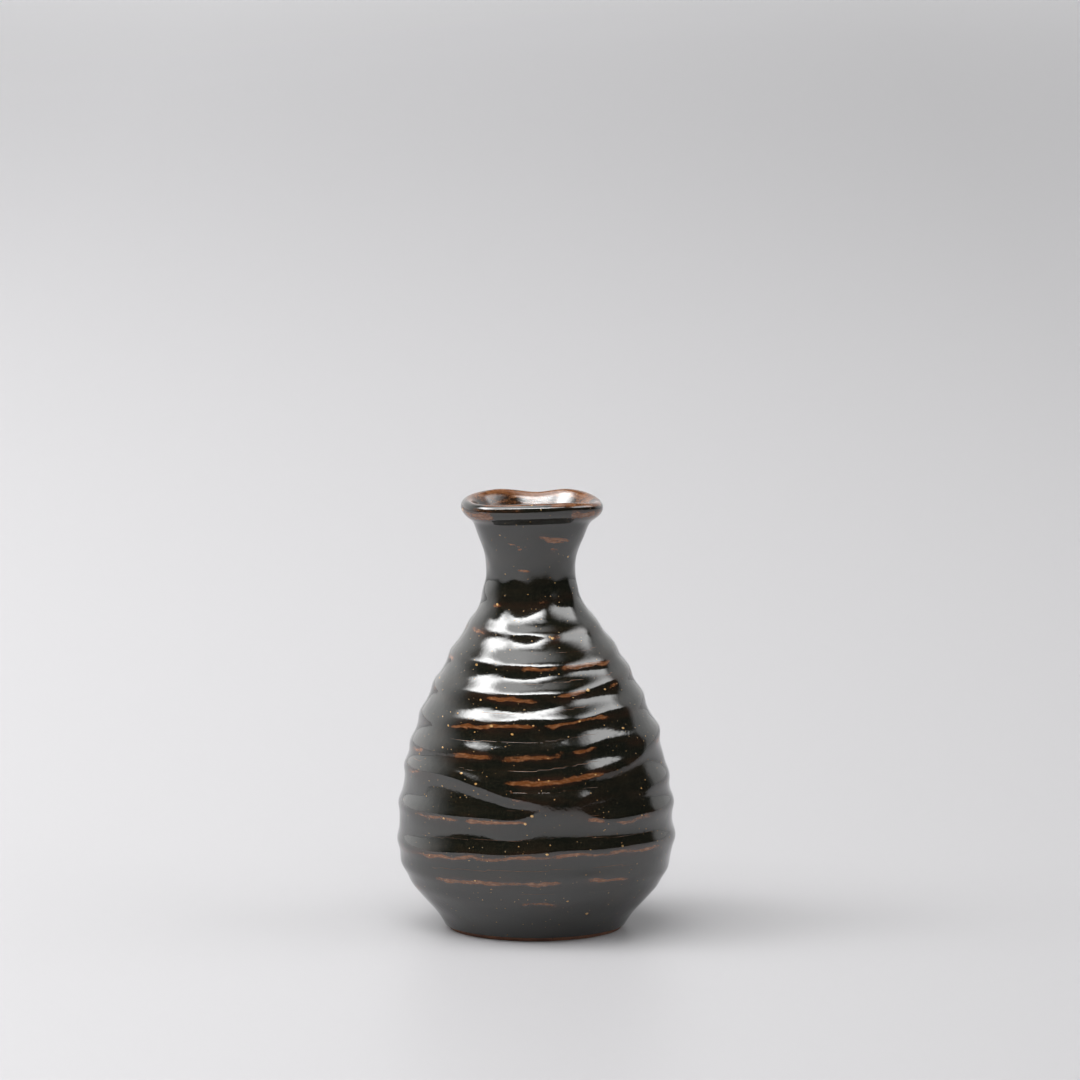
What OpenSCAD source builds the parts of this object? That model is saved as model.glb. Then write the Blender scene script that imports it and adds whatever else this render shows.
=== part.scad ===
// Thrown stoneware sake bottle, glazed inside and out.
// Millimetres. Z is up, the foot stands on z = 0 and the throat's axis is the Z axis.
// The outlines below are the glazed surface; the clay lies one coat of glaze under it.

/* [Overall] */
// Height to the top of the lip
height = 125; // [122:0.5:130]
// Width of the belly over its fullest ridge
belly_d = 80; // [76:0.5:84]
// Height of the fullest part of the belly
belly_z = 28; // [26:0.5:30]
// Width of the foot on the table
foot_d = 51.2; // [48:0.2:54]

/* [Neck] */
// Width of the neck at its narrowest
neck_d = 25.8; // [25:0.2:28]
// Height of the narrowest part of the neck
neck_z = 103; // [101:0.5:104]
// Width of the throat inside the glaze
throat_d = 18; // [16:0.2:18.4]
// Height at which the throat's straight part begins
throat_low = 98.5; // [97:0.5:100]
// Height at which the throat's straight part ends
throat_high = 106.5; // [105:0.5:107]

/* [Mouth] */
// Mean width over the lip
lip_d = 37.6; // [36:0.2:40]
// How much wider than deep the mouth is, as a share of its radius
mouth_oval = 0.085; // [0:0.005:0.12]
// How square the mouth is, as a share of its radius
mouth_square = 0.025; // [0:0.005:0.05]
// How much the front of the mouth is wider than the back, as a share of its radius
mouth_wedge = 0.02; // [0:0.005:0.04]
// Height of the lip's four waves above and below its mean
mouth_wave = 0.8; // [0:0.1:1.5]
// How far the mouth leans towards -X
mouth_lean = 0.6; // [0:0.1:1]

/* [Throwing ridges] */
// Height of the tallest ridge
ridge_h = 0.9; // [0:0.1:1.2]
// Half width of a ridge
ridge_w = 2.5; // [2:0.1:3]

/* [Clay and glaze] */
// Thickness of the clay wall with both coats of glaze
wall = 4; // [3.6:0.1:4.2]
// Thickness of the clay floor
floor_t = 4.4; // [3.6:0.2:6]
// Height of the foot ring
foot_h = 3; // [2.4:0.2:3.4]
// Width of the foot ring where it meets the floor
foot_w = 6; // [5:0.5:8]
// Thickness of the glaze between the ridges
glaze_t = 0.45; // [0.3:0.05:0.6]
// Height of the bare clay below the outer glaze
bare_h = 1.2; // [1:0.1:1.6]

/* [Hidden] */

foot_r = foot_d / 2;
belly_r = belly_d / 2 - ridge_h;
neck_r = neck_d / 2;
throat_r = throat_d / 2;
lip_r = lip_d / 2;
round_facets = 96;   // facets of a turned surface

// The collar is where the turned neck passes into the hand-shaped mouth.
collar_z = 108;
collar_r = neck_r + 0.3;
collar_inner_r = throat_r + 0.4;

// Shares of the height and of the width from the foot to the belly, and from the belly to the neck.
rise = [[0, 0], [0.15, 0.2], [0.36, 0.54], [0.57, 0.83], [0.79, 0.97], [1, 1]];
fall = [
    [0.08, 0.99], [0.19, 0.965], [0.29, 0.905], [0.4, 0.815], [0.51, 0.695],
    [0.61, 0.55], [0.72, 0.38], [0.83, 0.17], [0.91, 0.05], [1, 0]
];
outline = concat(
    [for (p = rise) [belly_z * p[0], foot_r + (belly_r - foot_r) * p[1]]],
    [for (p = fall) [belly_z + (neck_z - belly_z) * p[0], neck_r + (belly_r - neck_r) * p[1]]],
    [[collar_z, collar_r]]
);
last_knot = len(outline) - 1;

// Mean heights of the throwing ridges, and how full they are from the foot to the neck.
crests = [12.5, 19, 26, 36, 46, 55.5, 64, 72.5, 80.5, 88, 97];
fullness = [[3, 0], [12, 0.6], [26, 1], [50, 0.8], [98, 0.5], [102, 0]];
step_z = 1.25;       // height between the points of a turned outline

// Outline radius between the ridges: a cubic through the knots, with the slope of their neighbours.
function knot_slope(i) =
    let (a = outline[max(i - 1, 0)], b = outline[min(i + 1, last_knot)]) (b[1] - a[1]) / (b[0] - a[0]);
function span_at(z, i = 0) = (i >= last_knot - 1 || z < outline[i + 1][0]) ? i : span_at(z, i + 1);
function outline_r(z) =
    let (i = span_at(z), a = outline[i], b = outline[i + 1], h = b[0] - a[0], t = (z - a[0]) / h)
    a[1] * (2 * t * t * t - 3 * t * t + 1) + b[1] * (3 * t * t - 2 * t * t * t)
    + h * knot_slope(i) * (t * t * t - 2 * t * t + t) + h * knot_slope(i + 1) * (t * t * t - t * t);

// A ridge is a bell curve, and the glaze is thinner over it.
function bell(z, c) = exp(-pow((z - c) / ridge_w, 2));
function crest(z) = lookup(z, fullness) * vector_sum([for (c = crests) bell(z, c)]);
function vector_sum(v) = v * [for (i = v) 1];
function steepness(z) = sqrt(1 + pow((outline_r(z + 0.5) - outline_r(z - 0.5)), 2));
function glazed_r(z) = outline_r(z) + ridge_h * crest(z);
function clay_r(z) = glazed_r(z) - glaze_t * (1 - 0.6 * crest(z)) * steepness(z);

// Inside, the wall is smooth; the heel is a quarter ellipse that runs into the flat floor.
floor_z = foot_h + floor_t;
heel_z = floor_z + 5;
flat_r = foot_r - 5;
function wall_r(z) = outline_r(z) - (wall - glaze_t) * steepness(z);
function heel_r(z) = flat_r + (wall_r(heel_z) - flat_r) * sqrt(1 - pow((heel_z - z) / (heel_z - floor_z), 2));
heel = [for (s = [0:5]) let (z = floor_z + (heel_z - floor_z) * pow(s / 6, 2)) [heel_r(z), z]];
cavity_steps = ceil((throat_low - heel_z) / 4);
cavity = [for (s = [0:cavity_steps - 1]) let (z = heel_z + (throat_low - heel_z) * s / cavity_steps) [wall_r(z), z]];
throat = [
    [throat_r + glaze_t, throat_low], [throat_r + glaze_t, throat_high],
    [collar_inner_r + glaze_t, collar_z]
];
clay_inside = concat([[0, floor_z]], heel, cavity, throat);

// Turned outline from one height to another, evenly stepped.
function turned(low, high, kind) =
    let (n = ceil((high - low) / step_z))
    [for (s = [0:n]) let (z = low + (high - low) * s / n) [kind == "clay" ? clay_r(z) : glazed_r(z), z]];

// A path shifted by d to its right-hand side, which is the clay side of the glazed outlines.
function path_normal(path, i) =
    let (
        a = path[max(i - 1, 0)],
        b = path[min(i + 1, len(path) - 1)],
        run = b - a,
        length = norm(run)
    )
    [run[1], -run[0]] / length;
function shifted(path, d) = [for (i = [0:len(path) - 1]) path[i] + d * path_normal(path, i)];
function reversed(v) = [for (i = [len(v) - 1:-1:0]) v[i]];

// Section of the mouth from the collar outside, over the rolled lip, to the collar inside.
lip_knots = [
    [collar_r, collar_z],
    [collar_r + 0.7, collar_z + 3],
    [collar_r + 2, collar_z + 6],
    [lip_r - 2.9, height - 7],
    [lip_r - 1.8, height - 4.7],
    [lip_r - 0.4, height - 3.4],
    [lip_r, height - 2],
    [lip_r - 0.7, height - 0.6],
    [lip_r - 2.2, height],
    [lip_r - 3.8, height - 0.7],
    [lip_r - 5, height - 3],
    [lip_r - 6.6, height - 7],
    [(lip_r - 6.6 + collar_inner_r) / 2, collar_z + 4.5],
    [collar_inner_r, collar_z]
];
lip_steps = 2;       // points for each knot of the section
lip_sides = 64;      // sections round the mouth

// A smooth curve through the knots, by Catmull and Rom's rule.
function curve_point(p, i, t) =
    let (a = p[max(i - 1, 0)], b = p[i], c = p[i + 1], d = p[min(i + 2, len(p) - 1)])
    0.5 * (2 * b + (c - a) * t + (2 * a - 5 * b + 4 * c - d) * t * t + (3 * b - a - 3 * c + d) * t * t * t);
function curve(p, steps) =
    concat([for (i = [0:len(p) - 2]) for (s = [0:steps - 1]) curve_point(p, i, s / steps)], [p[len(p) - 1]]);
lip_path = curve(lip_knots, lip_steps);

// The mouth's plan and waves: round at the collar, fully shaped at the lip. Angles run from +X.
function mouth_share(z) = let (t = min(max((z - collar_z) / (height - collar_z), 0), 1)) t * t * (3 - 2 * t);
function mouth_plan(a) =
    lip_r * (mouth_oval * cos(2 * a) - mouth_square * cos(4 * a) - mouth_wedge * sin(3 * a));
function mouth_point(p, a) =
    let (k = mouth_share(p[1]), r = p[0] + k * mouth_plan(a))
    [r * cos(a) - k * mouth_lean, r * sin(a), p[1] - k * mouth_wave * cos(4 * a)];

// A closed section carried round the mouth, as a closed ring.
module mouth_ring(section) {
    n = len(section);
    points = [for (i = [0:lip_sides - 1]) for (p = section) mouth_point(p, 360 * i / lip_sides)];
    faces = [
        for (i = [0:lip_sides - 1])
            for (j = [0:n - 1])
                let (
                    a = i * n + j,
                    b = i * n + (j + 1) % n,
                    c = ((i + 1) % lip_sides) * n + (j + 1) % n,
                    d = ((i + 1) % lip_sides) * n + j
                )
                each [[a, b, c], [a, c, d]]
    ];
    polyhedron(points = points, faces = faces);
}

module turned_solid(section) {
    rotate_extrude($fn = round_facets)
        polygon(section);
}

// The fired clay wall, from the floor to the lip. The mouth is rooted 1.5 mm down inside the wall.
clay_color = [0.55, 0.42, 0.33];
module clay_body() {
    lip_clay = shifted(lip_path, glaze_t);
    ends = len(lip_clay) - 1;
    root_inset = 0.6;
    root_depth = 1.5;
    lip_root = [
        [collar_inner_r + glaze_t + root_inset, collar_z - root_depth],
        [collar_r - glaze_t - root_inset, collar_z - root_depth]
    ];
    seat = 0.1;      // the mouth's first ring sits just inside the collar's edges
    lip_outer_foot = [collar_r - glaze_t - seat, collar_z + 2 * seat];
    lip_inner_foot = [collar_inner_r + glaze_t + seat, collar_z + 2 * seat];
    color(clay_color)
        union() {
            turned_solid(concat([[0, foot_h]], turned(foot_h, collar_z, "clay"), reversed(clay_inside)));
            mouth_ring(concat(
                [lip_outer_foot], [for (i = [1:ends - 1]) lip_clay[i]], [lip_inner_foot], lip_root
            ));
        }
}

// The ring of bare clay that the bottle stands on, with its edges softened by a sponge.
module foot_ring() {
    soft = 0.5;      // softening of the two edges on the table
    inner_r = clay_r(foot_h) - foot_w;
    color([0.42, 0.27, 0.19])
        turned_solid(concat(
            [[inner_r, foot_h], [inner_r + 0.4, soft], [inner_r + 0.4 + soft, 0], [clay_r(0) - soft, 0]],
            turned(soft, foot_h, "clay")
        ));
}

// The dark coat outside, from just above the table to the collar, with a thin lower edge.
module outer_glaze() {
    edge = 0.6;      // height over which the coat thins to its lower edge
    color([0.09, 0.06, 0.05])
        turned_solid(concat(
            turned(bare_h + edge, collar_z, "glaze"),
            reversed(turned(bare_h, collar_z, "clay"))
        ));
}

// The coat over the lip, which breaks to rust brown.
module lip_glaze() {
    color([0.36, 0.18, 0.09])
        mouth_ring(concat(lip_path, reversed(shifted(lip_path, glaze_t))));
}

// The coat inside, from the collar down the throat to the floor.
module inner_glaze() {
    coat = concat(
        [[0, floor_z + glaze_t]],
        [for (p = concat(heel, cavity)) [p[0] - glaze_t * steepness(max(p[1], heel_z)), max(p[1], floor_z + glaze_t)]],
        [for (p = throat) [p[0] - glaze_t, p[1]]]
    );
    color([0.13, 0.09, 0.07])
        turned_solid(concat(coat, reversed(clay_inside)));
}

// The thin coat on the floor inside the foot ring.
module base_glaze() {
    gap = 0.3;       // bare line between the coat and the ring
    color([0.11, 0.08, 0.06])
        translate([0, 0, foot_h - glaze_t])
            cylinder(h = glaze_t, r = clay_r(foot_h) - foot_w - gap, $fn = round_facets);
}

clay_body();
foot_ring();
outer_glaze();
lip_glaze();
inner_glaze();
base_glaze();
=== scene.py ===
import math

import bpy
import numpy as np
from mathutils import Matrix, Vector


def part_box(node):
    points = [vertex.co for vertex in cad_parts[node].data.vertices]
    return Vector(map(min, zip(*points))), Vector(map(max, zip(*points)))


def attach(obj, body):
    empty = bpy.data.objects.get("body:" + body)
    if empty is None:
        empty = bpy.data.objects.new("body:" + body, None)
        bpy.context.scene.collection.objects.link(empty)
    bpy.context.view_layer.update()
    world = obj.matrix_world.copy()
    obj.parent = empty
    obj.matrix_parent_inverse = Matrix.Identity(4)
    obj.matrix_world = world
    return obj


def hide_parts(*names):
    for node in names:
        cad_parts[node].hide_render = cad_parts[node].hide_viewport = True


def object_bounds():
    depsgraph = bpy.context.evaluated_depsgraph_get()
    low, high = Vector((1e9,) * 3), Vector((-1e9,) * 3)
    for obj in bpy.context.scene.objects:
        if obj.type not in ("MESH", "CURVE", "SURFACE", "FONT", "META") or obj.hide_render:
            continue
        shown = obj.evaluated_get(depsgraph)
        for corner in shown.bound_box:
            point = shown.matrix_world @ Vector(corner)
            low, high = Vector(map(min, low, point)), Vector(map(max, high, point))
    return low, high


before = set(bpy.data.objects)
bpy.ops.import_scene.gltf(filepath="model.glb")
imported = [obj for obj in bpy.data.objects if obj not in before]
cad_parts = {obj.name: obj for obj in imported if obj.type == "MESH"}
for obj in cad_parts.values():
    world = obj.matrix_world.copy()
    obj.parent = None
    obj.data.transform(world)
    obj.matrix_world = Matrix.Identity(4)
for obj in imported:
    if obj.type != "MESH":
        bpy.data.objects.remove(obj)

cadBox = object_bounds()

# One millimetre of the bottle at its nominal size: the mouth's top stands at 126.25 mm there.
mm = cadBox[1].z / 126.25
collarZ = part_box("outer_glaze")[1].z / mm        # where the turned neck passes into the mouth
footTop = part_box("foot_ring")[1].z / mm
print("frame loaded, collar at", round(collarZ, 2), "mm")


# Natural cubic spline through the knots, in chord length: second slopes from the usual
# tridiagonal system, solved densely. Returns points at equal steps along the curve.
def splineCurve(knots, count):
    p = np.array(knots, float)
    t = np.r_[0, np.cumsum(np.linalg.norm(np.diff(p, axis=0), axis=1))]
    h = np.diff(t)[:, None]
    n = len(t)
    a = np.eye(n)
    b = np.zeros_like(p)
    i = np.arange(1, n - 1)
    a[i, i - 1] = h[i - 1, 0]
    a[i, i] = 2 * (h[i - 1, 0] + h[i, 0])
    a[i, i + 1] = h[i, 0]
    b[i] = 6 * ((p[i + 1] - p[i]) / h[i] - (p[i] - p[i - 1]) / h[i - 1])
    m = np.linalg.solve(a, b)

    def at(s):
        k = np.clip(np.searchsorted(t, s, side="right") - 1, 0, n - 2)
        u, v = (s - t[k])[:, None], (t[k + 1] - s)[:, None]
        g = h[k]
        return ((m[k] * v**3 + m[k + 1] * u**3) / (6 * g)
                + (p[k] / g - m[k] * g / 6) * v + (p[k + 1] / g - m[k + 1] * g / 6) * u)

    evenT = np.linspace(0, t[-1], 4000)
    run = np.r_[0, np.cumsum(np.linalg.norm(np.diff(at(evenT), axis=0), axis=1))]
    return at(np.interp(np.linspace(0, run[-1], count), run, evenT))


# Bell curve: e to the power of minus x squared.
def bell(x):
    return np.exp(-x * x)


# A polyline through the knots, softened with a bell of the given half width, read at x.
def softLine(knots, soft, x):
    kx, ky = np.array(knots, float).T
    reach = 24                               # steps on each side that the bell takes in
    step = soft / 8
    pad = 4 * soft
    gx = np.arange(kx[0] - pad, kx[-1] + pad + step, step)
    gy = np.interp(gx, kx, ky)
    weights = bell(np.arange(-reach, reach + 1) * step / soft)
    gy = np.convolve(np.pad(gy, reach, mode="edge"), weights / weights.sum(), mode="valid")
    return np.interp(x, gx, gy)


# The same for a line that closes on itself after a full turn.
def softRing(knots, soft, x):
    k = np.array(knots, float)
    tiled = np.vstack([k + [turn, 0] for turn in (-360, 0, 360)])
    return softLine(tiled, soft, x)


# Normals of a grid that closes on itself sideways: the cross product of its two differences.
def gridNormals(p):
    alongRow = np.roll(p, -1, 1) - np.roll(p, 1, 1)
    alongColumn = np.gradient(p, axis=0)
    n = np.cross(alongRow, alongColumn)
    return n / np.maximum(np.linalg.norm(n, axis=2, keepdims=True), 1e-12)


pot = {
    # radius and height down the section: foot, belly, shoulder, neck
    "outside": [(25.6, 0), (27.9, 4), (31.4, 8), (34.7, 12), (37.2, 16), (39.0, 21), (39.5, 27),
                (39.2, 34), (38.4, 42), (36.9, 50), (34.6, 58), (31.5, 66), (27.5, 74), (22.8, 82),
                (17.6, 90), (14.3, 96), (12.83, 104.6), (13.12, 108)],
    # over the rolled lip and down to the collar inside
    "lip": [(13.9, 111), (15.0, 114), (16.0, 117.0), (17.0, 119.0), (18.3, 120.1), (19.5, 121.4),
            (20.0, 123.0), (19.4, 124.5), (18.1, 125), (16.9, 124.6), (15.7, 123.1), (12.8, 119.1),
            (10.7, 114.5), (9.7, 111), (9.4, 108)],
    # the throat, the hollow belly and the floor
    "inside": [(9.1, 106.5), (9.0, 103), (9.0, 98.5), (12.6, 90), (18.2, 82), (22.9, 74), (26.9, 66),
               (30.0, 58), (32.4, 50), (33.9, 42), (34.7, 34), (34.9, 27), (34.2, 20), (32, 15.5),
               (28, 10.5), (20.5, 8.1), (12, 7.85), (0, 7.85)],
    # how far the middle stands to the right at each height
    "lean": [(0, 0.5), (12, 0.6), (30, 0.8), (55, 0.8), (78, 0.5), (88, 0.1), (97, -0.8),
             (110, -0.8), (125, -0.6)],
    # the skin's grid: points round it, and rows on the body, over the lip and down the inside
    "columns": 320,
    "bodyRows": 270,
    "lipRows": 132,
    "liningRows": 84,
    "coat": 0.45,            # thickness of the glaze between the ridges
    "crestThinning": 0.6,    # share of the coat that is missing on a ridge's top
    "bareClay": 1.2,         # bare height at the foot
    "lipSmooth": (112, 121), # the ridges die out between these heights
}

# Throwing ridges: the spiral that the fingers left, followed in unwound degrees from the front
# (positive to the right): the line its glaze breaks along, and how far it stands out.
spiral = {
    "path": [(150, 51.5), (180, 52.6), (270, 53.3), (312, 54.6), (340, 55), (360, 55), (388, 57.2),
             (450, 57.3), (540, 59.5), (630, 61.8), (672, 62.6), (690, 63.3), (720, 63.3), (760, 65.6),
             (810, 67.1), (900, 69), (990, 70.6), (1080, 71), (1110, 72.6), (1170, 74.8),
             (1260, 77.4), (1350, 79.6), (1440, 79), (1495, 79.2), (1530, 81.5), (1620, 85),
             (1710, 88.3), (1800, 87), (1890, 88.2), (1980, 92.5), (2070, 97.3), (2160, 96),
             (2250, 98.1), (2340, 101)],
    "height": [(155, 0), (200, 0.5), (270, 0.7), (315, 0.6), (345, 0.48), (360, 0.36), (380, 0.34),
               (390, 0.5), (420, 0.66), (540, 0.75), (680, 0.7), (720, 0.66), (900, 0.8), (1080, 0.82),
               (1440, 0.88), (1640, 0.7), (1740, 0.45), (1765, 0.33), (1820, 0.33), (1845, 0.55),
               (1980, 0.55), (2130, 0.3), (2200, 0.25), (2250, 0.4), (2330, 0)],
    "width": [(150, 2.5), (1740, 2.5), (1765, 1.6), (1825, 1.6), (1860, 2.1), (1900, 2.5)],
    "lift": 1.2,             # the bell stands this far above the line where the glaze breaks
    # where the glaze breaks along it: from, to, how strongly
    "breaks": [(283, 299, 0.9), (316, 342, 0.95), (340, 376, 0.72), (376, 391, 0.85),
               (671, 722, 0.95), (722, 762, 0.85), (1050, 1083, 0.95), (1091, 1112, 0.95),
               (1127, 1138, 0.6), (1429, 1458, 0.8), (1455, 1501, 0.95), (1814, 1824, 0.6),
               (1838, 1856, 0.45), (1730, 1757, 0.75), (2164, 2185, 0.6)],
}
# Ridges that close on themselves, from the belly down, told the same way.
rings = [
    # the low one that joins the spiral on the right
    {"path": [(-180, 46), (-60, 46.5), (-15, 47.7), (0, 47.9), (33, 50.3), (45, 51.6), (65, 54.6),
              (90, 56.8), (125, 57)],
     "height": [(-180, 0), (-50, 0), (-15, 0.25), (33, 0.4), (45, 0.55), (70, 0.6), (90, 0.35),
                (115, 0)],
     "width": 2.5, "lift": 0.9, "breaks": [(-16, 34, 1)]},
    # the one that dips across the front
    {"path": [(-180, 46), (-90, 47), (-55, 48.6), (-38, 48.4), (-12, 43.6), (0, 42.6), (25, 42.8),
              (50, 43.4), (90, 44.2)],
     "height": [(-180, 0.8), (-90, 0.8), (-45, 0.62), (-28, 0.55), (-8, 0.72), (14, 0.70), (21, 0.52),
                (31, 0.12), (60, 0.12), (78, 0.6), (120, 0.8)],
     "width": 2.4, "lift": 0.7, "breaks": [(-76, -60, 0.75), (-13, -4, 0.5), (70, 88, 0.6)]},
    # the one that runs into it
    {"path": [(-180, 36), (-90, 35.8), (-28, 36.8), (-12, 36.6), (-3, 37.3), (4, 38.1), (16, 38.1),
              (25, 36.9), (32, 36), (90, 36.1)],
     "height": [(-180, 0.8), (-90, 0.9), (-30, 0.9), (-6, 0.6), (3, 0.15), (20, 0.15), (32, 0.8),
                (60, 0.9)],
     "width": 2.6, "lift": 0.9,
     "breaks": [(-64, -31, 0.7), (-33, -2, 0.95), (20, 31, 0.85), (31, 60, 0.72)]},
    # the flat between the two
    {"path": [(-180, 40.3), (180, 40.3)], "height": [(-180, 0), (-6, 0), (3, 0.75), (20, 0.75), (27, 0)],
     "width": 3.6, "lift": 0, "breaks": []},
    {"path": [(-180, 26), (-90, 25.1), (-50, 25), (-28, 26.2), (0, 26.8), (12, 27.8), (40, 27.2),
              (90, 26.1)],
     "height": [(-180, 0.8), (0, 0.8)], "width": 2.5, "lift": 1.0,
     "breaks": [(-66, 66, 0.72), (-54, -24, 0.9), (-17, 5, 0.95), (4, 24, 0.95), (27, 63, 0.85),
                (-82, -62, 0.7)]},
    {"path": [(-180, 18), (-90, 18.6), (-45, 18.5), (-25, 19.2), (0, 19.1), (30, 19.5), (60, 18.4),
              (90, 16.9)],
     "height": [(-180, 0.6), (0, 0.5)], "width": 2.3, "lift": 0.5,
     "breaks": [(-50, 14, 0.75), (-47, -11, 1.0), (-8, 10, 0.9), (20, 46, 0.95)]},
    {"path": [(-180, 12.5), (-90, 13.5), (0, 12.5), (90, 12)],
     "height": [(-180, 0.35), (0, 0.25)], "width": 2.0, "lift": 0.3, "breaks": [(-10, 12, 0.9)]},
]
# Breaks away from the ridges: from and to in degrees, from and to in height, how strongly.
loneBreaks = [(-30, -10, 113.8, 112.4, 1.0), (-18, 3, 111.8, 113.2, 1.0), (4, 52, 115.6, 113.4, 1.0),
              (14, 44, 114.4, 113.0, 0.9), (-20, 2, 105.8, 105.5, 0.9), (22, 36, 112.3, 111.2, 0.75),
              (-78, -66, 106, 106.3, 0.8), (-50, -34, 95.6, 96, 0.7),
              (120, 165, 113, 114, 0.9), (-150, -110, 111, 112.5, 0.8), (190, 215, 104, 105, 0.9)]
# Slow unevenness left by the fingers: waves round the pot, millimetres from wave to wave up it,
# size, and where it starts.
fingerWaves = [(3, 17, 0.05, 0.4), (5, -11, 0.035, 2.2), (8, 9, 0.025, 4.4), (11, -7.5, 0.02, 1.3),
               (14, 12, 0.02, 5.1), (2, 26, 0.06, 3.3)]


# Smooth step from 0 to 1 between two values: 3 t squared less 2 t cubed.
def rampUp(x, low, high):
    t = np.clip((x - low) / (high - low), 0, 1)
    return t * t * (3 - 2 * t)


# Breaks that nobody chose, over the part of each ridge that is away from the front, in degrees.
dashes = {"length": (12, 48), "gap": (6, 34), "strength": (0.45, 0.95), "front": 62}


# The breaks along a ridge: those chosen on the front, and seeded dashes over the rest of its length.
# Each rises and falls by a smooth step over a third of its length, or 7 degrees if that is less.
def breakLine(ridge, first, last, seed):
    rng = np.random.default_rng(seed)
    breaks = list(ridge["breaks"])
    at = first
    while at < last:
        length, gap = rng.uniform(*dashes["length"]), rng.uniform(*dashes["gap"])
        middle = (at + length / 2 + 180) % 360 - 180
        strength = rng.uniform(*dashes["strength"])
        if abs(middle) > dashes["front"] + length / 2:
            breaks.append((at, at + length, strength))
        at += length + gap

    def strengthAt(angle):
        strongest = np.zeros(np.shape(angle))
        for start, end, strength in breaks:
            ends = min(7, (end - start) / 3)
            rise = rampUp(angle, start - 2, start + ends)
            fall = rampUp(-angle, -end - 2, -end + ends)
            strongest = np.maximum(strongest, strength * rise * fall)
        return strongest
    return strengthAt


# Height of all ridges over the outline, how near each point lies to a ridge's top (0 to 1), how far
# it lies above the nearest line of breaks, and how strong those are there. Each ridge is a bell.
def ridgeField(angle, z):
    farOff, nowhere = 9.0, -99               # further than any break reaches, and below the table
    leastHeight, fullHeight = 0.05, 0.3      # a ridge breaks from the first height, fully at the second
    topWidth = 1.6                           # half width of the thin coat on its top
    relief = np.zeros(np.broadcast(angle, z).shape)
    crest = np.zeros_like(relief)
    above = np.full_like(relief, farOff)
    strengths = np.zeros_like(relief)

    def nearer(line, strength):
        nonlocal above, strengths
        gap = z - line
        closer = np.abs(gap) < np.abs(above)
        above = np.where(closer, gap, above)
        strengths = np.where(closer, strength, strengths)

    def add(ridge, line, height, width, strength):
        nonlocal relief, crest
        relief = relief + height * bell((z - line - ridge["lift"]) / width)
        full = np.clip(height / fullHeight, 0, 1)
        crest = np.maximum(crest, full * bell((z - line) / topWidth))
        nearer(np.where(height > leastHeight, line, nowhere), strength * full)

    firstTurn, lastTurn = spiral["path"][0][0], spiral["path"][-1][0]
    strength = breakLine(spiral, firstTurn, lastTurn, 5)
    for turn in range(math.floor(firstTurn / 360), math.ceil(lastTurn / 360) + 1):
        unwound = angle + 360 * turn
        inside = (unwound > firstTurn) & (unwound < lastTurn)
        height = softLine(spiral["height"], 8, unwound) * inside
        width = softLine(spiral["width"], 8, unwound)
        add(spiral, softLine(spiral["path"], 7, unwound), height, width, strength(unwound))
    for k, ring in enumerate(rings):
        add(ring, softRing(ring["path"], 6, angle), softRing(ring["height"], 5, angle), ring["width"],
            breakLine(ring, -180, 175, 11 + k)(angle))
    for start, end, low, high, strength in loneBreaks:
        along = (angle - start + 180) % 360 - 180
        share = along / (end - start)
        nearer(low + (high - low) * np.clip(share, 0, 1),
               strength * rampUp(share, -0.05, 0.25) * rampUp(-share, -1.05, -0.75))
    for turns, tall, size, start in fingerWaves:
        relief = relief + size * np.sin(turns * np.radians(angle) + 2 * math.pi * z / tall + start)
    return relief, crest, above, strengths


# The bent mouth, round the rim in degrees from the front: how far it is pulled out or in, and up
# or down. A rounded trapezoid with a straight front, a pouring corner on the right and a dip behind.
mouth = {
    "pull": [(-180, -2.6), (-145, -0.9), (-120, -0.1), (-90, 0.3), (-65, 0.5), (-45, -0.3), (-22, -2.5),
             (0, -3.0), (22, -2.4), (45, -0.1), (62, 1.3), (78, 1.0), (100, 0.3), (125, -0.3),
             (145, -0.8), (172, -2.6)],
    "lift": [(-180, -0.3), (-148, 0.9), (-120, 0.4), (-90, -0.1), (-60, -0.5), (-40, -0.3), (0, 0.3),
             (40, 0.55), (60, -0.1), (85, -0.7), (105, 0), (125, 0.7), (145, 1.0), (172, -0.4)],
    # where the glaze breaks on it: from, to, how far past the top, half width, how strongly
    "breaks": [(80, 262, 1.6, 2.5, 1.0), (230, 312, 0.9, 1.9, 0.9), (300, 80, -0.7, 0.6, 1.0),
               (14, 84, -1.4, 1.0, 0.95), (20, 120, -0.4, 2.2, 0.72), (255, 328, -4.8, 2.3, 1.0),
               (300, 355, -2.6, 0.8, 0.5), (110, 250, -4.6, 1.1, 0.55), (100, 260, 5.2, 2.6, 0.62),
               (34, 84, -4.6, 2.0, 0.95)],
}


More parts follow.
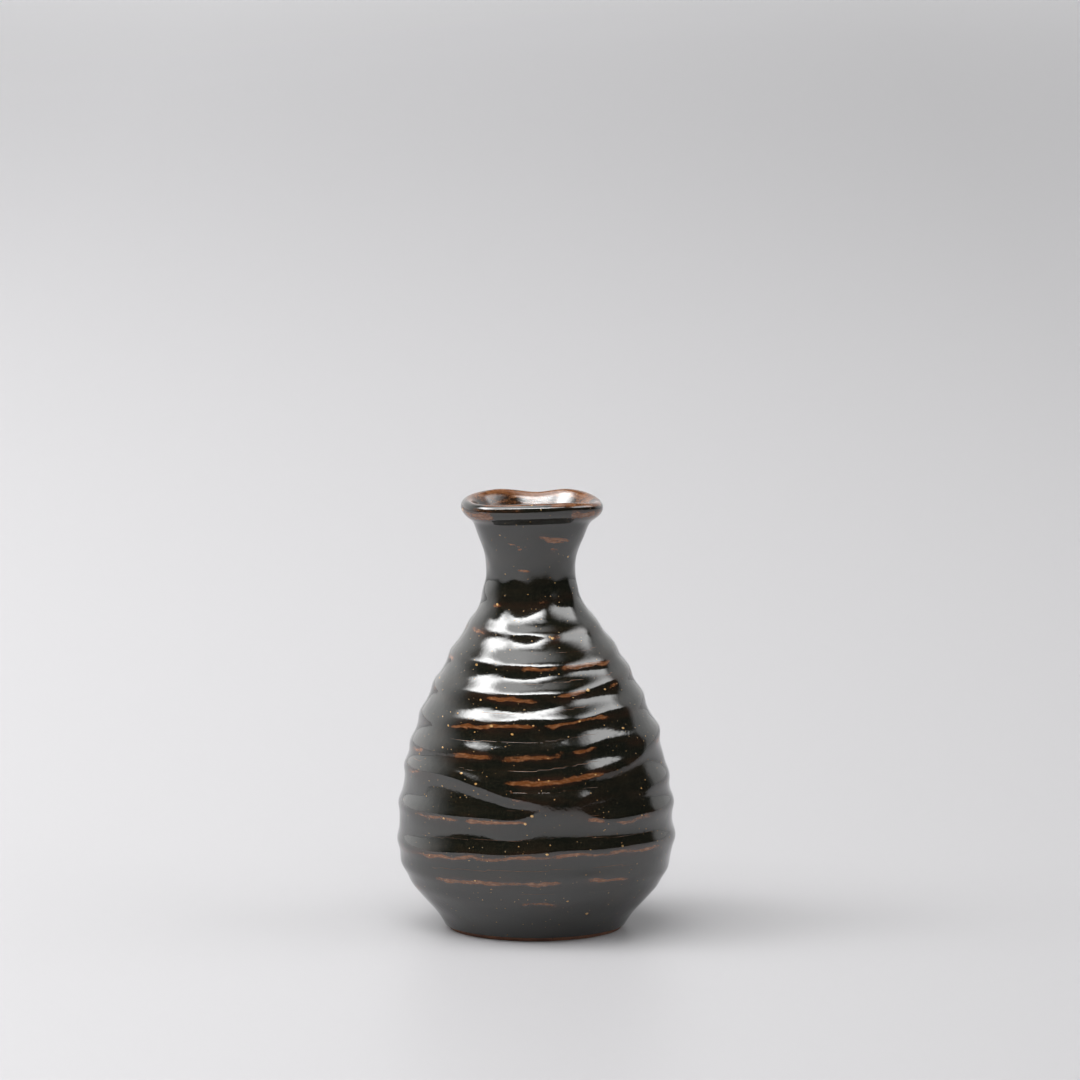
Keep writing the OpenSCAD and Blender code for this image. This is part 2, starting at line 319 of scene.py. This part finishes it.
# The whole glazed skin as one grid, from the foot over the lip to the middle of the floor:
# a section curve turned about the axis, pushed out by the ridges, and bent at the mouth.
def potSkin():
    section = splineCurve(pot["outside"] + pot["lip"] + pot["inside"], 4001)
    lipTop = max(height for radius, height in pot["lip"])
    top = int(np.argmax(section[:, 1]))
    z = section[:, 1]
    arc = np.r_[0, np.cumsum(np.linalg.norm(np.diff(section, axis=0), axis=1))]
    atBare = np.interp(pot["bareClay"], z[:top], arc[:top])
    atCollar = np.interp(collarZ, z[:top], arc[:top])
    atInnerCollar = np.interp(-collarZ, -z[top:], arc[top:])
    rows = np.r_[np.linspace(atBare, atCollar, pot["bodyRows"]),
                 np.linspace(atCollar, atInnerCollar, pot["lipRows"])[1:],
                 np.linspace(atInnerCollar, arc[-1], pot["liningRows"])[1:]]
    r = np.interp(rows, arc, section[:, 0])[:, None]
    z = np.interp(rows, arc, section[:, 1])[:, None]
    outer = (rows <= arc[top])[:, None]
    angle = np.linspace(-180, 180, pot["columns"], endpoint=False)[None, :]
    relief, crest, above, strengths = ridgeField(angle, z)
    fade = rampUp(-z, -pot["lipSmooth"][1], -pot["lipSmooth"][0])
    relief, crest, strengths = relief * outer * fade, crest * outer, strengths * outer
    share = rampUp(z, collarZ, lipTop)
    leanOut = softLine(pot["lean"], 4, z)
    leanIn = softLine(pot["lean"], 4, np.array([lipTop])) * rampUp(z, collarZ, lipTop - 1)
    lean = np.where(outer, leanOut, leanIn)
    radius = r + relief + share * softRing(mouth["pull"], 9, angle)
    height = z + share * softRing(mouth["lift"], 9, angle)
    a = np.radians(angle)
    grid = np.stack([lean + radius * np.sin(a), -radius * np.cos(a), height], -1)

    # the glaze runs off the rim's edges
    past = rows[:, None] - arc[top]
    worn = np.zeros_like(relief)
    for start, end, middle, width, strength in mouth["breaks"]:
        along = ((angle - start) % 360) / ((end - start) % 360)
        here = rampUp(along, -0.01, 0.12) * rampUp(-along, -1.01, -0.88)
        worn = np.maximum(worn, strength * here * bell((past - middle) / width))
    masks = {"crest": crest, "above": above, "strength": strengths, "worn": worn}
    return grid, masks


skin, skinMasks = potSkin()
skinNormals = gridNormals(skin)
collarRow = pot["bodyRows"] - 1
innerCollarRow = collarRow + pot["lipRows"] - 1
lastRow = len(skin) - 3                      # the rows nearer to the floor's middle become one point
coatThickness = pot["coat"] * (1 - pot["crestThinning"] * skinMasks["crest"])[..., None]
print("skin grid", skin.shape)


# Vertices and faces into a mesh object, in metres, with its shading normals and attributes.
def makePiece(name, points, quads, tris=(), normals=None, attributes=None):
    mesh = bpy.data.meshes.new(name)
    quads, tris = np.array(quads, int).reshape(-1, 4), np.array(tris, int).reshape(-1, 3)
    corners = np.r_[quads.ravel(), tris.ravel()]
    starts = np.r_[np.arange(len(quads)) * 4, len(quads) * 4 + np.arange(len(tris)) * 3]
    mesh.vertices.add(len(points))
    mesh.loops.add(len(corners))
    mesh.polygons.add(len(starts))
    mesh.vertices.foreach_set("co", (np.asarray(points) * mm).astype(np.float32).ravel())
    mesh.loops.foreach_set("vertex_index", corners.astype(np.int32))
    mesh.polygons.foreach_set("loop_start", starts.astype(np.int32))
    mesh.update(calc_edges=True)
    mesh.validate()
    mesh.polygons.foreach_set("use_smooth", np.ones(len(starts), bool))
    if normals is not None:
        mesh.normals_split_custom_set_from_vertices(np.asarray(normals).tolist())
    for key, values in (attributes or {}).items():
        layer = mesh.attributes.new(key, "FLOAT", "POINT")
        layer.data.foreach_set("value", np.asarray(values, np.float32).ravel())
    piece = bpy.data.objects.new(name, mesh)
    bpy.context.scene.collection.objects.link(piece)
    return piece


# Quads between neighbouring rows of a grid that closes sideways, as indices into its points.
def ringQuads(rows, columns, flip=False):
    i, j = np.meshgrid(np.arange(rows - 1), np.arange(columns), indexing="ij")
    k = (j + 1) % columns
    quads = np.stack([i * columns + j, i * columns + k, (i + 1) * columns + k, (i + 1) * columns + j], -1)
    quads = quads.reshape(-1, 4)
    return quads[:, ::-1] if flip else quads


# A closed coat of glaze over rows first to last: the skin outside, the same surface moved in by
# the coat's thickness on its clay side, and the two edges joined. The first edge thins out if asked.
def coatShell(name, first, last, closedEnd=False, thinStart=False):
    columns = skin.shape[1]
    backStep = 8                             # the clay side takes every eighth row
    outerRows = np.arange(first, last + 1)
    backRows = np.unique(np.r_[np.arange(first, last, backStep), last])
    thickness = coatThickness[backRows]
    if thinStart:
        thickness = thickness * rampUp(backRows - first, -2, 12)[:, None, None]
    outer, back = skin[outerRows], skin[backRows] - thickness * skinNormals[backRows]
    points = np.vstack([outer.reshape(-1, 3), back.reshape(-1, 3)])
    normals = np.vstack([skinNormals[outerRows].reshape(-1, 3), -skinNormals[backRows].reshape(-1, 3)])
    base = len(outerRows) * columns
    quads = [ringQuads(len(outerRows), columns), base + ringQuads(len(backRows), columns, True)]
    j = np.arange(columns)
    k = (j + 1) % columns
    quads.append(np.stack([j, base + j, base + k, k], -1))
    o, b = (len(outerRows) - 1) * columns, base + (len(backRows) - 1) * columns
    tris = ()
    if closedEnd:
        centre, backCentre = len(points), len(points) + 1
        points = np.vstack([points, outer[-1].mean(0), back[-1].mean(0)])
        normals = np.vstack([normals, [0, 0, 1], [0, 0, -1]])
        tris = np.vstack([np.stack([o + j, o + k, centre + 0 * j], -1),
                          np.stack([b + k, b + j, backCentre + 0 * j], -1)])
    else:
        quads.append(np.stack([o + k, b + k, b + j, o + j], -1))
    masks = {}
    for key, mask in skinMasks.items():
        values = np.r_[mask[outerRows].ravel(), mask[backRows].ravel()]
        masks[key] = np.r_[values, np.zeros(len(points) - len(values))]
    return makePiece(name, points, np.vstack(quads), tris, normals, masks)


outerCoat = coatShell("outer_coat", 0, collarRow, thinStart=True)
lipCoat = coatShell("lip_coat", collarRow, innerCollarRow)
liningCoat = coatShell("lining_coat", innerCollarRow, lastRow, closedEnd=True)


# The clay under the coats: the skin moved in by the coat, closed under the floor at the foot's top.
def clayWall():
    step, gap = 2, 0.01                      # every second row and column, just clear of the coat
    bodyStart = int(np.argmax(skin[:, 0, 2] > footTop))
    rows = np.unique(np.r_[np.arange(bodyStart, lastRow, step), lastRow])
    surface = skin[rows] - (coatThickness[rows] + gap) * skinNormals[rows]
    surface = surface[:, ::step]
    columns = surface.shape[1]
    surface[0, :, 2] = footTop
    points = np.vstack([surface.reshape(-1, 3), surface[-1].mean(0), surface[0].mean(0)])
    top, under = len(points) - 2, len(points) - 1
    j = np.arange(columns)
    k = (j + 1) % columns
    last = (len(rows) - 1) * columns
    tris = np.vstack([np.stack([last + j, last + k, top + 0 * j], -1),
                      np.stack([k, j, under + 0 * j], -1)])
    return makePiece("clay_wall", points, ringQuads(len(rows), columns), tris)


# A closed ring or a lens turned about the foot's middle from its section, with a slow unevenness
# round it made of three waves.
def turnedPiece(name, section, poles, columns=240, uneven=0.0):
    a = np.radians(np.arange(columns) * 360 / columns)
    waves = uneven * (np.sin(2 * a + 0.6) + 0.6 * np.sin(5 * a + 2.1) + 0.4 * np.sin(9 * a + 4.0))
    p = np.array(section, float)
    r = p[:, :1] + np.where(p[:, :1] > 0.5, waves[None, :], 0)
    lean = pot["lean"][0][1]
    grid = np.stack([lean + r * np.sin(a), -r * np.cos(a), p[:, 1:] + 0 * r], -1)
    j = np.arange(columns)
    k = (j + 1) % columns
    quads = ringQuads(len(p), columns)
    points, tris = grid.reshape(-1, 3), ()
    last = (len(p) - 1) * columns
    if poles:
        points = np.vstack([points, [lean, 0, p[0, 1]], [lean, 0, p[-1, 1]]])
        n = len(points)
        tris = np.vstack([np.stack([k, j, n - 2 + 0 * j], -1),
                          np.stack([last + j, last + k, n - 1 + 0 * j], -1)])
    else:
        quads = np.vstack([quads, np.stack([last + j, last + k, k, j], -1)])
    return makePiece(name, points, quads, tris)


# The bare foot: a flat resting face whose two edges are sponged to quarter circles, its outside in
# line with the wall.
foot = {
    "innerWidth": 43.0,
    "sponged": 0.55,
    "uneven": 0.05,
}


def footSection():
    outerR, innerR, s = pot["outside"][0][0], foot["innerWidth"] / 2, foot["sponged"]
    quarter = np.radians(np.linspace(0, 90, 7))
    outerEdge = [(outerR - 0.4 - s + s * math.sin(t), s - s * math.cos(t)) for t in quarter]
    innerEdge = [(innerR + s - s * math.cos(t), s - s * math.sin(t)) for t in quarter]
    return outerEdge + [(outerR - 0.1, pot["bareClay"]), (outerR + 0.5, 2.0), (outerR + 1.2, footTop),
                        (innerR - 0.6, footTop), (innerR - 0.3, 1.6)] + innerEdge


bareFoot = turnedPiece("bare_foot", footSection(), False, uneven=foot["uneven"])

# The coat on the base: a shallow lens that stops short of the foot.
base = {
    "width": foot["innerWidth"] - 2.0,
    "uneven": 0.18,
    # share of the radius, millimetres off it, millimetres under the clay
    "section": [(0, 0.6, 0.50), (0.5, 0, 0.47), (1, -1.2, 0.42), (1, -0.4, 0.33), (1, 0, 0.15),
                (1, -0.1, 0), (0.5, 0, 0), (0, 0.6, 0)],
}
baseSection = [(base["width"] / 2 * share + off, footTop - under) for share, off, under in base["section"]]
baseCoat = turnedPiece("base_coat", baseSection, True, uneven=base["uneven"])
clay = clayWall()
print("coats, clay and foot made")

for piece, node, slotName in ((outerCoat, "outer_glaze", "dark_glaze"),
                              (lipCoat, "lip_glaze", "rust_glaze"),
                              (liningCoat, "inner_glaze", "lining_glaze"),
                              (clay, "clay_body", "fired_clay"),
                              (bareFoot, "foot_ring", "bare_foot_clay"),
                              (baseCoat, "base_glaze", "base_glaze")):
    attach(piece, "root")
    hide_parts(node)


# A node with its settings, and each input linked to a socket or set to a value.
def addNode(tree, kind, inputs=None, **settings):
    node = tree.nodes.new(kind)
    for key, value in settings.items():
        setattr(node, key, value)
    for key, value in (inputs or {}).items():
        if isinstance(value, bpy.types.NodeSocket):
            tree.links.new(value, node.inputs[key])
        else:
            node.inputs[key].default_value = value
    return node


# An empty material with its shader joined to its output.
def newMaterial(name):
    material = bpy.data.materials.new(name)
    material.use_nodes = True
    tree = material.node_tree
    tree.nodes.clear()
    shader = addNode(tree, "ShaderNodeBsdfPrincipled")
    output = addNode(tree, "ShaderNodeOutputMaterial")
    tree.links.new(shader.outputs[0], output.inputs[0])
    return material, tree, shader


# Value between two limits, smoothed, from 0 to 1.
def smoothMask(tree, value, low, high):
    return addNode(tree, "ShaderNodeMapRange", {"Value": value, "From Min": low, "From Max": high},
                   interpolation_type="SMOOTHSTEP").outputs["Result"]


# One sum on two values.
def mathNode(tree, operation, a, b=0.0):
    return addNode(tree, "ShaderNodeMath", {0: a, 1: b}, operation=operation).outputs[0]


# From colour a to colour b by the factor, or a times b.
def mixColour(tree, fac, a, b, blend="MIX"):
    node = tree.nodes.new("ShaderNodeMix")
    node.data_type, node.blend_type = "RGBA", blend
    for index, value in ((0, fac), (6, a), (7, b)):
        if isinstance(value, bpy.types.NodeSocket):
            tree.links.new(value, node.inputs[index])
        else:
            node.inputs[index].default_value = value
    return node.outputs[2]


# A shader group with its named inputs and outputs.
def newGroup(name, inputs, outputs):
    group = bpy.data.node_groups.new(name, "ShaderNodeTree")
    for key, kind, value in inputs:
        socket = group.interface.new_socket(key, in_out="INPUT", socket_type=kind)
        socket.default_value = value
    for key, kind in outputs:
        group.interface.new_socket(key, in_out="OUTPUT", socket_type=kind)
    return group, group.nodes.new("NodeGroupInput").outputs, group.nodes.new("NodeGroupOutput").inputs


glaze = {
    "refraction": 1.85,      # iron-rich and shiny
    "peel": 0.00006,         # depth of the orange peel in metres
    # gold specks large enough to notice: degrees from the front, height, half width
    "largeSpecks": [(-42, 95.5, 0.5), (16, 87, 0.45), (-32, 70.3, 0.35), (32, 73, 0.55),
                    (-48, 62.3, 0.4), (-22, 63.5, 0.5), (-1, 63.8, 0.35), (22, 64.8, 0.35),
                    (-48, 56, 0.4), (-35, 50, 0.4), (-5, 36.8, 0.45), (5, 28, 0.45),
                    (-42, 36.5, 0.35), (44, 72.4, 0.4), (1, 49, 0.3), (27, 50, 0.35),
                    (-75, 122.2, 0.7)],
    # fine specks: cells to the metre, largest radius in cells, share of the cells without one
    "fineSpecks": [(190, 0.105, 0.66), (430, 0.115, 0.66), (780, 0.15, 0.55)],
    "speckSquash": 1.35,     # how much wider than tall a speck is
    "speckWarp": 0.0005,     # how far its outline strays
    "speckDark": (0.50, 0.25, 0.07, 1),
    "speckPale": (0.64, 0.42, 0.17, 1),
}


# The grid point of the skin nearest to an angle and a height, in metres, squashed and shifted like
# the specks' pattern, whose warp is half its size on average.
def onSkin(angle, z):
    column = int(round((angle + 180) / 360 * pot["columns"])) % pot["columns"]
    row = int(np.argmin(np.abs(skin[:innerCollarRow, column, 2] - z)))
    return tuple(skin[row, column] * mm * (1, 1, glaze["speckSquash"]) + glaze["speckWarp"] / 2)


# Iron-brown glaze: nearly black where it is thick, red brown beside the breaks and orange brown on
# them, with iron flecks, gold specks and an orange-peel surface.
def glazeGroup():
    group, given, put = newGroup("ironGlaze", [
        ("Thick", "NodeSocketColor", (0.0045, 0.0052, 0.0032, 1)),
        ("Deep", "NodeSocketColor", (0.0100, 0.0082, 0.0046, 1)),
        ("Halo", "NodeSocketColor", (0.027, 0.0110, 0.0060, 1)),
        ("Fleck", "NodeSocketColor", (0.030, 0.026, 0.016, 1)),
        ("Break", "NodeSocketColor", (0.135, 0.045, 0.012, 1)),
        ("Pale break", "NodeSocketColor", (0.24, 0.105, 0.045, 1)),
        ("Breaking", "NodeSocketFloat", 1.0),
        ("Specks", "NodeSocketFloat", 1.0),
    ], [("Color", "NodeSocketColor"), ("Roughness", "NodeSocketFloat"), ("Height", "NodeSocketFloat")])
    place = addNode(group, "ShaderNodeTexCoord").outputs["Object"]
    flat = addNode(group, "ShaderNodeMapping", {"Vector": place, "Scale": (1, 1, 3.2)}).outputs[0]

    def carried(name):
        return addNode(group, "ShaderNodeAttribute", attribute_name=name).outputs["Fac"]

    def noise(vector, scale, detail=3.0, rough=0.55):
        return addNode(group, "ShaderNodeTexNoise", {"Vector": vector, "Scale": scale,
                                                     "Detail": detail, "Roughness": rough}).outputs["Fac"]

    def times(a, b):
        return mathNode(group, "MULTIPLY", a, b)

    def plus(a, b):
        return mathNode(group, "ADD", a, b)

    def mask(value, low, high):
        return smoothMask(group, value, low, high)

    def spread(value, size):                 # noise about its middle, to this size
        return times(mathNode(group, "SUBTRACT", value, 0.5), size)

    patches = noise(flat, 90, 3)
    dashNoise = noise(flat, 260, 4, 0.6)
    grain = noise(place, 1700, 3, 0.6)
    # the breaks wander off their line, and are thick and thin
    wander = plus(carried("above"), spread(noise(place, 120, 2), 2.6))
    off = mathNode(group, "ABSOLUTE", wander)
    breadth = plus(0.95, spread(noise(place, 75, 2), 1.8))
    onLine = mask(mathNode(group, "DIVIDE", off, breadth), 1.25, 0.1)
    line = times(onLine, carried("strength"))
    wornHere = times(mathNode(group, "MAXIMUM", carried("worn"), line), given["Breaking"])
    ragged = plus(plus(wornHere, spread(dashNoise, 1.25)), spread(grain, 0.6))
    broken = mask(ragged, 0.36, 0.92)
    # a red-brown halo lies round them, and a thin coat on every ridge's top
    nearLine = times(mask(off, 2.6, 0.3), carried("strength"))
    beside = mathNode(group, "MAXIMUM", wornHere, times(nearLine, 0.5))
    halo = mask(plus(beside, spread(patches, 1.1)), 0.1, 0.9)
    thin = times(carried("crest"), mask(patches, 0.35, 0.7))
    colour = mixColour(group, mask(patches, 0.4, 0.7), given["Thick"], given["Deep"])
    colour = mixColour(group, times(mask(grain, 0.45, 0.72), 0.4), colour, given["Fleck"])
    colour = mixColour(group, times(thin, 0.4), colour, given["Halo"])
    colour = mixColour(group, halo, colour, given["Halo"])
    tint = mixColour(group, mask(noise(flat, 600, 3), 0.42, 0.68), given["Break"], given["Pale break"])
    colour = mixColour(group, broken, colour, tint)

    # fine specks: one to a cell at most, its outline warped
    squash = (1, 1, glaze["speckSquash"])
    squashed = addNode(group, "ShaderNodeMapping", {"Vector": place, "Scale": squash}).outputs[0]
    warp = addNode(group, "ShaderNodeTexNoise", {"Vector": place, "Scale": 1400.0, "Detail": 1.0})
    warped = addNode(group, "ShaderNodeVectorMath",
                     {0: warp.outputs["Color"], 1: (glaze["speckWarp"],) * 3}, operation="MULTIPLY")
    spot = addNode(group, "ShaderNodeVectorMath", {0: squashed, 1: warped.outputs[0]},
                   operation="ADD").outputs[0]
    specks = None
    for scale, radius, share in glaze["fineSpecks"]:
        cells = addNode(group, "ShaderNodeTexVoronoi", {"Vector": spot, "Scale": scale})
        pick = addNode(group, "ShaderNodeSeparateColor", {"Color": cells.outputs["Color"]})
        size = times(mask(pick.outputs[0], share, 1.0), radius)
        gap = mathNode(group, "SUBTRACT", size, cells.outputs["Distance"])
        faint = plus(0.45, times(pick.outputs[1], 0.55))
        layer = times(mask(gap, -0.006, 0.025), faint)
        specks = layer if specks is None else mathNode(group, "MAXIMUM", specks, layer)
    # the largest ones, at the listed places
    nearest = None
    for angle, z, size in glaze["largeSpecks"]:
        distance = addNode(group, "ShaderNodeVectorMath", {0: spot, 1: onSkin(angle, z)},
                           operation="DISTANCE").outputs["Value"]
        share = mathNode(group, "DIVIDE", distance, size * mm)
        nearest = share if nearest is None else mathNode(group, "MINIMUM", nearest, share)
    specks = times(mathNode(group, "MAXIMUM", specks, mask(nearest, 1.05, 0.85)), given["Specks"])
    gold = mixColour(group, mask(grain, 0.35, 0.65), glaze["speckDark"], glaze["speckPale"])
    colour = mixColour(group, specks, colour, gold)
    group.links.new(colour, put["Color"])

    rough = plus(times(broken, 0.07), times(patches, 0.05))
    group.links.new(plus(rough, 0.06), put["Roughness"])
    peel = plus(times(noise(place, 420, 2, 0.5), 0.7), times(grain, 0.17))
    peel = plus(peel, times(specks, 0.25))
    group.links.new(mathNode(group, "SUBTRACT", peel, times(broken, 0.2)), put["Height"])
    return group


ironGlaze = glazeGroup()


# A material round a group: its values, and a bump of the given depth and strength.
def groupMaterial(name, group, values, depth, strength=1.0):
    material, tree, shader = newMaterial(name)
    node = addNode(tree, "ShaderNodeGroup", node_tree=group)
    for key, value in values.items():
        node.inputs[key].default_value = value
    tree.links.new(node.outputs["Color"], shader.inputs["Base Color"])
    tree.links.new(node.outputs["Roughness"], shader.inputs["Roughness"])
    bump = addNode(tree, "ShaderNodeBump", {"Height": node.outputs["Height"], "Strength": strength,
                                            "Distance": depth})
    tree.links.new(bump.outputs[0], shader.inputs["Normal"])
    return material, shader


def glazeMaterial(name, values, peel=glaze["peel"]):
    material, shader = groupMaterial(name, ironGlaze, values, peel)
    shader.inputs["IOR"].default_value = glaze["refraction"]
    return material


# Fired clay: warm and matt, clouded between two tones, with sand grains and darker iron spots.
def clayGroup():
    group, given, put = newGroup("firedClay", [
        ("Pale", "NodeSocketColor", (0.42, 0.27, 0.18, 1)),
        ("Dark", "NodeSocketColor", (0.30, 0.18, 0.11, 1)),
        ("Iron", "NodeSocketColor", (0.05, 0.025, 0.015, 1)),
    ], [("Color", "NodeSocketColor"), ("Roughness", "NodeSocketFloat"), ("Height", "NodeSocketFloat")])
    place = addNode(group, "ShaderNodeTexCoord").outputs["Object"]
    sand = addNode(group, "ShaderNodeTexNoise",
                   {"Vector": place, "Scale": 2200.0, "Detail": 5.0, "Roughness": 0.65}).outputs["Fac"]
    cloud = addNode(group, "ShaderNodeTexNoise",
                    {"Vector": place, "Scale": 160.0, "Detail": 3.0}).outputs["Fac"]
    spots = addNode(group, "ShaderNodeTexVoronoi", {"Vector": place, "Scale": 700.0})
    iron = smoothMask(group, mathNode(group, "SUBTRACT", 0.16, spots.outputs["Distance"]), -0.04, 0.05)
    colour = mixColour(group, smoothMask(group, cloud, 0.3, 0.7), given["Pale"], given["Dark"])
    grains = mathNode(group, "MULTIPLY", smoothMask(group, sand, 0.35, 0.7), 0.45)
    colour = mixColour(group, grains, colour, given["Dark"])
    colour = mixColour(group, mathNode(group, "MULTIPLY", iron, 0.7), colour, given["Iron"])
    group.links.new(colour, put["Color"])
    rough = mathNode(group, "ADD", mathNode(group, "MULTIPLY", sand, 0.25), 0.62)
    group.links.new(rough, put["Roughness"])
    group.links.new(sand, put["Height"])
    return group


firedClay = clayGroup()


def clayMaterial(name, pale, dark):
    return groupMaterial(name, firedClay, {"Pale": pale, "Dark": dark}, 0.0001, 0.8)[0]


for piece, material in (
        (outerCoat, glazeMaterial("darkGlaze", {})),
        (lipCoat, glazeMaterial("lipGlaze", {"Breaking": 0.9, "Specks": 0.8})),
        (liningCoat, glazeMaterial("liningGlaze", {"Specks": 0.5, "Breaking": 0.8})),
        (baseCoat, glazeMaterial("baseGlaze", {"Specks": 0.6, "Breaking": 0.5}, peel=0.0001)),
        (bareFoot, clayMaterial("bareFootClay", (0.26, 0.115, 0.06, 1), (0.16, 0.07, 0.04, 1))),
        (clay, clayMaterial("firedClay", (0.42, 0.27, 0.18, 1), (0.30, 0.18, 0.11, 1)))):
    piece.data.materials.append(material)
print("materials made")


studio = {
    # the table: its colour close by and far off, and what that is multiplied by on the right; the paler
    # far end and darker right side are painted light and shade
    "paintedFloorNear": (0.465, 0.46, 0.47),
    "paintedFloorFarLight": (0.99, 0.98, 1.0),
    "paintedFloorRightShade": (0.77, 0.77, 0.77),
    "floorRadius": 16.0,
    "paintedFarGlow": 0.13,         # painted glow: the table's far end gives off light of its own, in place of light from the room
    "cameraPlace": (0.0019, -2.373, 0.4442),
    "cameraPitch": 82.05,
    "lens": 277.3,
    "fill": 0.26,            # even light from all round
    "backdrop": 0.95,        # how bright the room behind is in the glaze
    "darkRoom": 0.02,        # and the rest of it
    "aim": 0.06,             # the height that the lamps face
    # name: azimuth from the front (left is negative), elevation, distance, width, height, radiance,
    # soft part of its width, soft part of its bottom and top
    "lights": {
        "keyLeft": (-81, 46, 2.6, 2.5, 1.3, 12.2, 0.5, 0.3, 0.45),
        "frontStrip": (-13, 57, 2.6, 3.9, 0.75, 13, 0.33, 0.08, 0.9),
        "overhead": (-90, 82, 2.6, 2.8, 3.8, 2.8, 0.15, 0.1, 0.58),
        "rightPanel": (82, 40.5, 2.6, 3.4, 1.25, 3.5, 0.25, 0.1, 0.62),
    },
}


# A soft-edged lamp that faces the bottle: the product of four smooth steps from its edges.
def areaLight(name, azimuth, elevation, distance, width, height, radiance, softSide, softLow, softHigh):
    data = bpy.data.lights.new(name, "AREA")
    data.shape, data.size, data.size_y = "RECTANGLE", width, height
    data.energy = radiance * math.pi * width * height       # W for the radiance at every point
    data.use_nodes = True
    tree = data.node_tree
    tree.nodes.clear()
    place = addNode(tree, "ShaderNodeNewGeometry").outputs["Parametric"]
    across = addNode(tree, "ShaderNodeSeparateXYZ", {0: place})
    left = smoothMask(tree, across.outputs["X"], 0.0, softSide)
    right = smoothMask(tree, across.outputs["X"], 1.0, 1 - softSide)
    low = smoothMask(tree, across.outputs["Y"], 0.0, softLow)
    high = smoothMask(tree, across.outputs["Y"], 1.0, 1 - softHigh)
    sides, ends = mathNode(tree, "MULTIPLY", left, right), mathNode(tree, "MULTIPLY", low, high)
    level = mathNode(tree, "MULTIPLY", sides, ends)
    glow = addNode(tree, "ShaderNodeEmission", {"Strength": level})
    tree.links.new(glow.outputs[0], addNode(tree, "ShaderNodeOutputLight").inputs[0])
    lamp = bpy.data.objects.new(name, data)
    a, e = math.radians(azimuth), math.radians(elevation)
    lamp.location = (distance * math.sin(a) * math.cos(e), -distance * math.cos(a) * math.cos(e),
                     distance * math.sin(e) + studio["aim"])
    lamp.rotation_euler = (math.radians(90 - elevation), 0, math.radians(azimuth))
    lamp.visible_camera = False
    bpy.context.scene.collection.objects.link(lamp)


for lightName, values in studio["lights"].items():
    areaLight(lightName, *values)

bpy.ops.mesh.primitive_circle_add(vertices=96, radius=studio["floorRadius"], fill_type="NGON")
floor = bpy.context.object
floor.name = "floor"
material, tree, shader = newMaterial("paleFloor")
place = addNode(tree, "ShaderNodeTexCoord").outputs["Object"]
spot = addNode(tree, "ShaderNodeSeparateXYZ", {0: place})
# painted light and shade: the table's colour grows paler towards its far end, and darker to the right
far = addNode(tree, "ShaderNodeMapRange",
              {"Value": spot.outputs["Y"], "From Min": -0.2, "From Max": 3.6}).outputs[0]
far = mathNode(tree, "POWER", far, 1.3)
side = addNode(tree, "ShaderNodeMapRange",
               {"Value": spot.outputs["X"], "From Min": -0.25, "From Max": 0.25}).outputs[0]
deep = mixColour(tree, far, (*studio["paintedFloorNear"], 1), (*studio["paintedFloorFarLight"], 1))
tone = mixColour(tree, side, (1, 1, 1, 1), (*studio["paintedFloorRightShade"], 1))
tree.links.new(mixColour(tree, 1.0, deep, tone, "MULTIPLY"), shader.inputs["Base Color"])
# painted glow: emission on the far end of the table
tree.links.new(mathNode(tree, "MULTIPLY", mathNode(tree, "POWER", far, 3.0), studio["paintedFarGlow"]),
               shader.inputs["Emission Strength"])
shader.inputs["Emission Color"].default_value = (1, 1, 1, 1)
shader.inputs["Roughness"].default_value = 0.45
shader.inputs["Specular IOR Level"].default_value = 0.15
floor.data.materials.append(material)

world = bpy.data.worlds.new("room")
world.use_nodes = True
bpy.context.scene.world = world
tree = world.node_tree
tree.nodes.clear()
path = addNode(tree, "ShaderNodeLightPath")
fill = addNode(tree, "ShaderNodeBackground", {"Color": (1, 1, 1.02, 1), "Strength": studio["fill"]})
# in the glaze: a pale backdrop behind and on the left, a dark room in front and above
direction = addNode(tree, "ShaderNodeTexCoord").outputs["Generated"]
towards = addNode(tree, "ShaderNodeSeparateXYZ", {0: direction})
leftward = mathNode(tree, "SUBTRACT", towards.outputs["Y"],
                    mathNode(tree, "MULTIPLY", towards.outputs["X"], math.tan(math.radians(20))))
toRight = smoothMask(tree, towards.outputs["X"], -0.15, 0.15)
behind = mathNode(tree, "MAXIMUM", smoothMask(tree, leftward, 0.05, 1.1),
                  mathNode(tree, "MULTIPLY", smoothMask(tree, leftward, 0.05, 0.22), toRight))
low = smoothMask(tree, towards.outputs["Z"], 0.75, 0.55)
uneven = mathNode(tree, "SUBTRACT", studio["backdrop"],
                  mathNode(tree, "MULTIPLY", towards.outputs["X"], 0.5))
lit = mathNode(tree, "MULTIPLY", mathNode(tree, "MULTIPLY", behind, low), uneven)
level = mathNode(tree, "ADD", lit, studio["darkRoom"])
dark = addNode(tree, "ShaderNodeBackground", {"Color": (1, 1, 1, 1), "Strength": level})
pale = addNode(tree, "ShaderNodeBackground", {"Color": (0.60, 0.60, 0.62, 1), "Strength": 1.0})
glossyMix = addNode(tree, "ShaderNodeMixShader", {0: path.outputs["Is Glossy Ray"]})
cameraMix = addNode(tree, "ShaderNodeMixShader", {0: path.outputs["Is Camera Ray"]})
output = addNode(tree, "ShaderNodeOutputWorld")
tree.links.new(fill.outputs[0], glossyMix.inputs[1])
tree.links.new(dark.outputs[0], glossyMix.inputs[2])
tree.links.new(glossyMix.outputs[0], cameraMix.inputs[1])
tree.links.new(pale.outputs[0], cameraMix.inputs[2])
tree.links.new(cameraMix.outputs[0], output.inputs[0])

cameraData = bpy.data.cameras.new("camera")
cameraData.lens = studio["lens"]
cameraData.sensor_width = 36
cameraData.clip_end = 50
camera = bpy.data.objects.new("camera", cameraData)
camera.location = studio["cameraPlace"]
camera.rotation_euler = (math.radians(studio["cameraPitch"]), 0, 0)
bpy.context.scene.collection.objects.link(camera)
bpy.context.scene.camera = camera
bpy.context.scene.view_settings.view_transform = "Standard"
